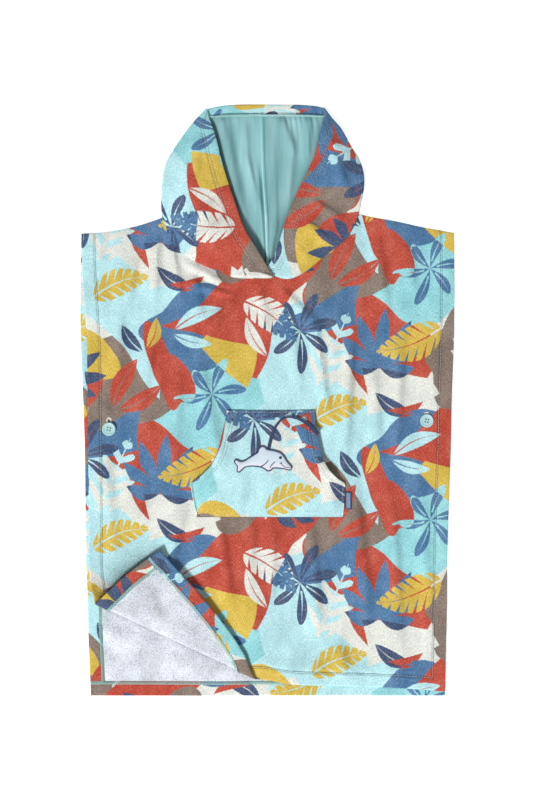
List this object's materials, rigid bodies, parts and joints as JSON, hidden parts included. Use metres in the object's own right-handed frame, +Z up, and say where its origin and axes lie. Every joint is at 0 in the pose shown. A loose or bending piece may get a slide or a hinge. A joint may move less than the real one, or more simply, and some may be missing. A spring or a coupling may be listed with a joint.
{
  "type": "hooded bath poncho",
  "caption": "Child's hooded bath poncho of printed velour terry, laid flat, with open buttoned sides, a kangaroo pocket, a lined hood and one lower corner turned up.",
  "frame": {"origin": "on the ground, in the middle of the garment's outline", "axes": "+X to the garment's right as seen, +Y from the hem to the hood, +Z up, away from the ground"},
  "size_m": [0.5011, 0.792, 0.0203],
  "materials": {
    "velour_print": "matte",
    "teal_lining": "matte",
    "mint_button": "satin",
    "charm_felt": "matte",
    "navy_ribbon": "satin",
    "blue_label": "matte"
  },
  "bodies": {
    "root": {"back_panel": "velour_print", "front_panel": "velour_print", "hood_left": "velour_print", "hood_right": "velour_print", "hood_lining_left": "teal_lining", "hood_lining_right": "teal_lining", "pouch_pocket": "velour_print", "button_left": "mint_button", "button_right": "mint_button", "dolphin_charm": "charm_felt", "charm_ribbon": "navy_ribbon", "side_label": "blue_label"}
  },
  "joints": []
}
